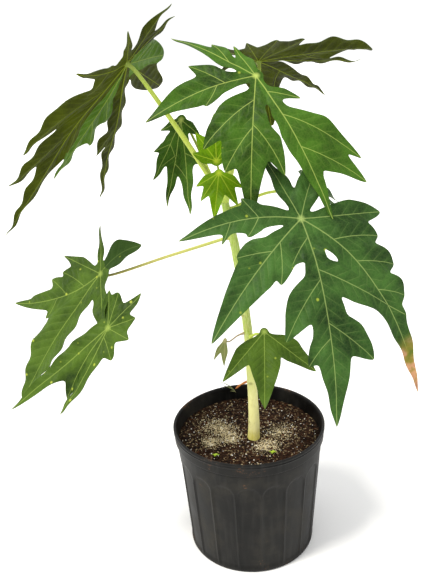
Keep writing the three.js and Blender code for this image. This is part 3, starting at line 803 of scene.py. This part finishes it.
pot = {
    "height": 250, "rim": 140, "foot": 118, "wall": 2.4, "collar": 25, "collarStep": 3.5,
    "panels": 18, "panelTop": 196, "panelBottom": 8, "panelDepth": 1.9, "panelTurn": 6, "sides": 432,
}


def wallAt(z):
    return pot["foot"] + (pot["rim"] - pot["collarStep"] - pot["foot"]) * z / pot["height"]


def latheMesh(profile, sides, shift):
    # closed round body from rows of radius and height, first and last on the axis, with relief added
    angles = np.linspace(0, 2 * math.pi, sides, endpoint=False)
    rows = np.array(profile[1:-1], float)
    radius = rows[:, :1] * np.ones(sides) + shift(rows, angles)
    points = np.stack([radius * np.cos(angles), radius * np.sin(angles), rows[:, 1:] * np.ones(sides)], -1)
    points = np.concatenate([points.reshape(-1, 3), [(0, 0, profile[0][1]), (0, 0, profile[-1][1])]])
    return points, ringFaces(len(rows), sides)


def potProfile():
    top, collarFoot = pot["height"], pot["height"] - pot["collar"]
    rim, wall = pot["rim"], pot["wall"]
    foot, lower = pot["foot"], wallAt(collarFoot)
    rows = [(0, 0), (foot - 16, 0), (foot - 4, 0), (foot - 1.2, 1), (foot + 0.2, 4)]
    rows += [(wallAt(z), z) for z in np.linspace(7, collarFoot - 2.5, 66)]
    rows += [(lower - 0.8, collarFoot - 1.2), (lower - 0.9, collarFoot - 0.3),
             (lower + 2.6, collarFoot - 0.2), (lower + 3.3, collarFoot + 0.5),
             (lower + 3.5, collarFoot + 1.6)]
    rows += [(lower + 3.5 + 0.03 * k * (top - 10 - collarFoot) / 8,
              collarFoot + 1.6 + k * (top - 11.5 - collarFoot) / 8) for k in range(1, 9)]
    # bead under the lip, a groove, then the rolled lip itself
    rows += [(rim - inward, top - down) for inward, down in (
        (0.9, 8.6), (0.2, 7.6), (0.9, 6.6), (1.2, 5.8), (0.6, 4.8), (0, 3.2), (0, 1.8), (0.7, 0.5), (2, 0),
        (3.6, 0.3), (4.8, 1.4), (5.4, 3.5))]
    inner = lower - wall
    rows += [(rim - 5.4 - (rim - 5.4 - inner) * k / 12, top - 3.5 - (top - 3.5 - collarFoot) * k / 12)
             for k in range(1, 13)]
    rows += [(wallAt(z) - wall, z) for z in (215, 150, 80, 20, 4)]
    return rows + [(wallAt(wall) - wall - 3, wall), (0, wall)]


def panelShift(rows, angles):
    # recessed panels with round tops, and a fine rib between them
    z = rows[:, 1:]
    outside = (rows[:, :1] > wallAt(z) - 1) & (z > pot["panelBottom"] - 6) & (z < pot["panelTop"] + 12)
    turn = (angles - math.radians(pot["panelTurn"])) / (2 * math.pi / pot["panels"])
    off = (turn + 0.5) % 1 - 0.5
    radius = rows[:, :1]
    across = np.abs(off) * radius * 2 * math.pi / pot["panels"]
    half = radius * math.pi / pot["panels"] - 2.2
    above = np.maximum(0, z - (pot["panelTop"] - half))
    side = np.hypot(across, above)
    rest = smooth((side - half + 1.8) / 3.2)
    lower = smooth((z - pot["panelBottom"]) / 5)
    shift = -pot["panelDepth"] * (1 - rest) * lower
    shift = shift + 0.3 * np.exp(-((across - half - 2.2) / 0.8) ** 2) * lower * (z < pot["panelTop"] - 4)
    # blow-moulded walls are never quite round
    sag = 0.5 * np.sin(3 * angles + 0.7) * np.clip(z / 120, 0, 1) * np.clip((232 - z) / 60, 0, 1)
    return np.where(outside, shift + sag, 0)


# Black polyethylene, blow moulded: grey-black satin, rubbed paler in streaks, with splashed soil
def potMaterial():
    material, add, coord = newMaterial("blowMouldedPolyethylene")
    height = add("SeparateXYZ", {0: coord}).outputs[2]
    fine = add("TexNoise", {"Vector": coord, "Scale": 1 / 0.0035, "Detail": 4.0})
    cloud = add("TexNoise", {"Vector": coord, "Scale": 1 / 0.05, "Detail": 5.0, "Roughness": 0.6})
    down = add("Mapping", {"Vector": coord, "Scale": (1, 1, 0.1)})
    streak = add("TexNoise", {"Vector": down, "Scale": 1 / 0.009, "Detail": 3.0})
    base = add("ValToRGB", {"Fac": cloud},
               stops=((0.35, "#050504"), (0.52, "#131210"), (0.68, "#25231e")))
    rub = add("MapRange", {"Value": streak, "From Min": 0.5, "From Max": 0.75, "To Max": 0.3})
    base = add("MixRGB", {"Fac": rub, "Color1": base, "Color2": "#31302d"})
    # soil dust: round the outside of the collar and on the lowest 50 mm
    high = add("MapRange", {"Value": height, "From Min": 0.2, "From Max": 0.236})
    low = add("MapRange", {"Value": height, "From Min": 0.05, "From Max": 0.0})
    flat = add("Mapping", {"Vector": coord, "Scale": (1, 1, 0)})
    radius = add("VectorMath", {0: flat}, operation="LENGTH").outputs["Value"]
    outside = add("MapRange", {"Value": radius, "From Min": 0.1335, "From Max": 0.1355})
    high = add("Math", {0: high, 1: outside}, operation="MULTIPLY")
    where = add("Math", {0: high, 1: low}, operation="MAXIMUM")
    where = add("Math", {0: where, 1: 0.16, 2: -0.06}, operation="MULTIPLY_ADD")
    crumbs = add("Math", {0: fine, 1: 0.5, 2: cloud}, operation="MULTIPLY_ADD")
    crumbs = add("Math", {0: crumbs, 1: where}, operation="ADD")
    dust = add("MapRange", {"Value": crumbs, "From Min": 0.93, "From Max": 1.02, "To Max": 0.6})
    colour = add("MixRGB", {"Fac": dust, "Color1": base, "Color2": "#6b4c36"})
    rough = add("MapRange", {"Value": cloud, "From Min": 0.3, "From Max": 0.7,
                             "To Min": 0.42, "To Max": 0.6})
    rough = add("Math", {0: dust, 1: 0.35, 2: rough}, operation="MULTIPLY_ADD")
    grain = add("Math", {0: fine, 1: dust}, operation="ADD")
    bump = add("Bump", {"Height": grain, "Strength": 0.25, "Distance": 0.0005})
    skin = add("BsdfPrincipled", {"Base Color": colour, "Roughness": rough, "Normal": bump, "IOR": 1.5,
                                  "Specular IOR Level": 0.2})
    add("OutputMaterial", {"Surface": skin})
    return material


points, faces = latheMesh(potProfile(), pot["sides"], panelShift)
makePiece("pot", points, faces, potMaterial(), ["pot"], crease=40)
print("pot done")


soil = {
    "top": 228, "edge": 222, "seed": 21, "sides": 220, "rings": 70, "waves": 36,
    # bits lie inside this radius and clear of the stem
    "reach": 125, "stemGap": 14,
    # paler crumbs: x, y, reach
    "patches": [(-66, 26, 34), (-44, 4, 26), (-34, -22, 22), (56, -8, 36), (30, -50, 24), (-70, -30, 20)],
}
soilRng = random.Random(soil["seed"])
waves = []      # pitch, direction and phase of each
for _ in range(soil["waves"]):
    waves.append([soilRng.uniform(0.05, 0.6)] + [soilRng.uniform(0, 2 * math.pi) for _ in range(2)])


def soilHeight(x, y):
    r = np.hypot(x, y)
    z = np.interp(r, [0, 60, 95, 131], [soil["top"], soil["top"], soil["top"] - 2, soil["edge"]])
    for pitch, turn, phase in waves:
        ahead = x * math.cos(turn) + y * math.sin(turn)
        z = z + 0.28 / (1 + 3 * pitch) * np.sin(pitch * ahead * 1.6 + phase)
    return z


def soilMesh():
    sides, rings, low = soil["sides"], soil["rings"], 2.8
    inner = wallAt(soil["edge"]) - pot["wall"] - 0.5
    bottom = wallAt(3) - pot["wall"] - 0.5
    angles = np.linspace(0, 2 * math.pi, sides, endpoint=False)
    radii = np.linspace(inner, inner / rings, rings)
    x, y = radii[:, None] * np.cos(angles), radii[:, None] * np.sin(angles)
    lowRing = np.stack([bottom * np.cos(angles), bottom * np.sin(angles), np.full(sides, low)], -1)
    points = np.concatenate([lowRing, np.stack([x, y, soilHeight(x, y)], -1).reshape(-1, 3),
                             [(0, 0, low), (0, 0, soilHeight(0, 0))]])
    return points, ringFaces(rings + 1, sides)


# Potting mix: peat and fine bark, crumbly and fully matt
def soilMaterial():
    material, add, coord = newMaterial("pottingMix")
    crumb = add("TexVoronoi", {"Vector": coord, "Scale": 1 / 0.0028})
    tone = add("SeparateXYZ", {0: crumb.outputs["Color"]})
    cloud = add("TexNoise", {"Vector": coord, "Scale": 1 / 0.03, "Detail": 4.0})
    colour = add("ValToRGB", {"Fac": tone}, stops=(
        (0.0, "#0c0806"), (0.5, "#1f140e"), (0.82, "#3a281b"), (0.95, "#6d5a42"), (1.0, "#a89974")))
    warm = add("MapRange", {"Value": cloud, "From Min": 0.45, "From Max": 0.65, "To Max": 0.4})
    colour = add("MixRGB", {"Fac": warm, "Color1": colour, "Color2": "#3c2415"})
    height = add("Math", {0: crumb.outputs["Distance"], 1: cloud}, operation="ADD")
    bump = add("Bump", {"Height": height, "Strength": 0.8, "Distance": 0.0015})
    skin = add("BsdfPrincipled", {"Base Color": colour, "Roughness": 0.95, "Normal": bump,
                                  "Specular IOR Level": 0.08})
    add("OutputMaterial", {"Surface": skin})
    return material


points, faces = soilMesh()
makePiece("soil", points, faces, soilMaterial(), ["soil"], crease=60)


# Loose bits on top: each kind one joined piece of small uneven stones or chips
def bitMaterial(name, pair, roughness):
    material, add, coord = newMaterial(name)
    tone = add("TexNoise", {"Vector": coord, "Scale": 1 / 0.006, "Detail": 2.0})
    colour = add("ValToRGB", {"Fac": tone}, stops=((0.35, pair[0]), (0.65, pair[1])))
    bump = add("Bump", {"Height": tone, "Strength": 0.4, "Distance": 0.0006})
    skin = add("BsdfPrincipled", {"Base Color": colour, "Roughness": roughness, "Normal": bump,
                                  "Specular IOR Level": 0.1})
    add("OutputMaterial", {"Surface": skin})
    return material


# each bit starts as a twenty-sided stone
golden = (1 + 5 ** 0.5) / 2
corners = np.array([
    (-1, golden, 0), (1, golden, 0), (-1, -golden, 0), (1, -golden, 0), (0, -1, golden), (0, 1, golden),
    (0, -1, -golden), (0, 1, -golden), (golden, 0, -1), (golden, 0, 1), (-golden, 0, -1), (-golden, 0, 1)])
corners = corners / np.linalg.norm(corners[0])
stoneFaces = np.array([
    (0, 11, 5), (0, 5, 1), (0, 1, 7), (0, 7, 10), (0, 10, 11), (1, 5, 9), (5, 11, 4), (11, 10, 2),
    (10, 7, 6), (7, 1, 8), (3, 9, 4), (3, 4, 2), (3, 2, 6), (3, 6, 8), (3, 8, 9), (4, 9, 5), (2, 4, 11),
    (6, 2, 10), (8, 6, 7), (9, 8, 1)])
bits = {
    # count, size range in mm, flatness, share in the pale patches, two colours, roughness
    "perlite": (320, 1.2, 3.0, 0.9, 0.3, ("#d9d5c8", "#f3f1ea"), 0.85),
    "paleCrumbs": (4200, 0.8, 2.4, 0.7, 0.95, ("#b3a27a", "#e2d5ae"), 0.95),
    "peatCrumbs": (1500, 1.2, 3.6, 0.6, 0.0, ("#100a07", "#2a1b12"), 0.95),
    "barkChips": (420, 2.0, 5.5, 0.35, 0.0, ("#22130b", "#54311c"), 0.9),
}
stemX, stemY, *_ = stem["line"][0]
for name, (count, small, large, flat, inPatch, pair, roughness) in bits.items():
    rng = random.Random(soil["seed"] + len(name) * 7 + count)
    allPoints, allFaces = [], []
    while len(allPoints) < count:
        if rng.random() < inPatch:
            cx, cy, reach = rng.choice(soil["patches"])
            x, y = cx + rng.gauss(0, reach * 0.45), cy + rng.gauss(0, reach * 0.45)
        else:
            r, a = (soil["reach"] + 1) * rng.random() ** 0.5, rng.uniform(0, 2 * math.pi)
            x, y = r * math.cos(a), r * math.sin(a)
        if math.hypot(x, y) > soil["reach"] or math.hypot(x - stemX, y - stemY) < soil["stemGap"]:
            continue
        size = small + (large - small) * rng.random() ** 2
        shape = corners * [rng.uniform(0.7, 1.25), rng.uniform(0.6, 1.1), flat] * size / 2
        shape = shape * np.array([[rng.uniform(0.75, 1.2)] for _ in corners])
        lean, turn = rng.uniform(-0.5, 0.5), rng.uniform(0, 2 * math.pi)
        spin = np.array(Matrix.Rotation(turn, 3, "Z") @ Matrix.Rotation(lean, 3, "X"))
        allFaces.append(stoneFaces + 12 * len(allPoints))
        allPoints.append(shape @ spin.T + [x, y, float(soilHeight(x, y)) + flat * size * 0.28])
    makePiece(name, np.concatenate(allPoints), np.concatenate(allFaces),
              bitMaterial(name + "Bits", pair, roughness), crease=35)
print("soil done")


# Pale matt floor, one wide sun and an even white sky
floorMaterial, add, coord = newMaterial("paleStudioFloor")
tone = add("TexNoise", {"Vector": coord, "Scale": 3.0, "Detail": 2.0})
colour = add("ValToRGB", {"Fac": tone}, stops=((0.3, "#f3f3f2"), (0.7, "#f8f8f7")))
skin = add("BsdfPrincipled", {"Base Color": colour, "Roughness": 0.9})
add("OutputMaterial", {"Surface": skin})
floorMesh = bpy.data.meshes.new("floor")
reach = 9.0     # m
floorCorners = [(-reach, -reach, 0), (reach, -reach, 0), (reach, reach, 0), (-reach, reach, 0)]
floorMesh.from_pydata(floorCorners, [], [(0, 1, 2, 3)])
floorMesh.materials.append(floorMaterial)
newObject("floor", floorMesh)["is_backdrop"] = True

light = {
    "sunFrom": (-0.6, -0.35, 1.1), "sunPower": 2.7, "sunSoft": 14.0, "sunColour": (1.0, 0.97, 0.9),
    "sky": "#ffffff", "skyPower": 1.06,
}
sunData = bpy.data.lights.new("key", "SUN")
sunData.energy = light["sunPower"]
sunData.angle = math.radians(light["sunSoft"])
sunData.color = light["sunColour"]
sun = newObject("key", sunData)
direction = np.array(light["sunFrom"]) / np.linalg.norm(light["sunFrom"])
sun.rotation_mode = "QUATERNION"
sun.rotation_quaternion = Vector(direction).to_track_quat("Z", "Y")
world = bpy.data.worlds.new("studio")
bpy.context.scene.world = world
world.use_nodes = True
sky = world.node_tree.nodes["Background"].inputs
sky["Color"].default_value = srgb(light["sky"])
sky["Strength"].default_value = light["skyPower"]
bpy.context.scene.view_settings.view_transform = "Standard"

view = {"place": (-40, -1196, 1003), "down": 22.1, "roll": 2.6, "lens": 46.8}
down, roll = math.radians(view["down"]), math.radians(view["roll"])
ahead = Vector((0, math.cos(down), -math.sin(down)))
level = Vector((1, 0, 0))
up = level.cross(ahead)
right = level * math.cos(roll) - up * math.sin(roll)
top = level * math.sin(roll) + up * math.cos(roll)
cameraData = bpy.data.cameras.new("camera")
cameraData.lens = view["lens"]
cameraData.clip_end = 50
camera = newObject("camera", cameraData)
turn = Matrix((right, top, -ahead)).transposed().to_4x4()
camera.matrix_world = Matrix.Translation(Vector(view["place"]) * mm) @ turn
bpy.context.scene.camera = camera

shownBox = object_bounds()
for name, box in (("cad", cadBox), ("shown", shownBox)):
    print(name, "box", [[round(v, 4) for v in corner] for corner in box])
